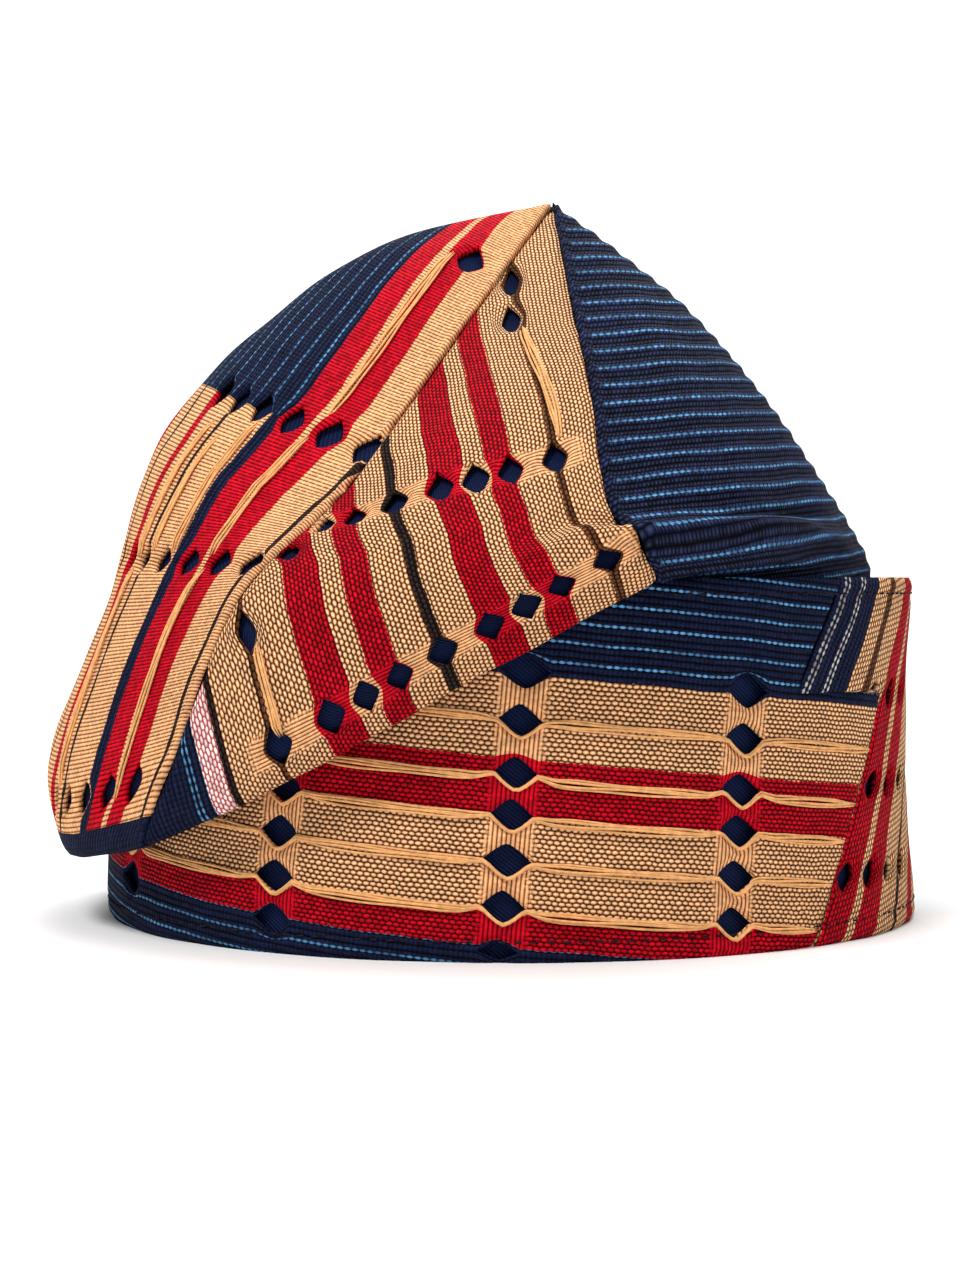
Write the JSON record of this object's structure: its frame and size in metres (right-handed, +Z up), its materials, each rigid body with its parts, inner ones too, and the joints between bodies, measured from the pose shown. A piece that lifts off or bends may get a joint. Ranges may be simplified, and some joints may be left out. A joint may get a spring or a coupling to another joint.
{
  "type": "fila cap",
  "caption": "Soft brimless cap of striped openwork strip cloth: an upright oval band, and a tall four-panel crown that rises from it and hangs over its front and one side.",
  "frame": {"origin": "centre of the whole cap's outline seen from above, at the level of the band's lower edge", "axes": "+Z up out of the crown's tip, -Y to the front of the cap as pictured, -X to the side on which the crown hangs"},
  "size_m": [0.205, 0.2031, 0.1668],
  "materials": {
    "striped_cloth": "hand-woven tan, red and navy striped strip cloth with openwork and loose float yarns",
    "navy_cloth": "navy ribbed hand-woven cloth with light-blue dashed lines",
    "lining_cloth": "plain navy fine twill"
  },
  "bodies": {
    "root": {"band_front_panel": "striped_cloth", "band_side_panel": "striped_cloth", "band_lining": "lining_cloth", "crown_front_panel": "striped_cloth", "crown_left_panel": "striped_cloth", "crown_back_panel": "striped_cloth", "crown_right_panel": "navy_cloth", "crown_lining": "lining_cloth"}
  },
  "joints": []
}
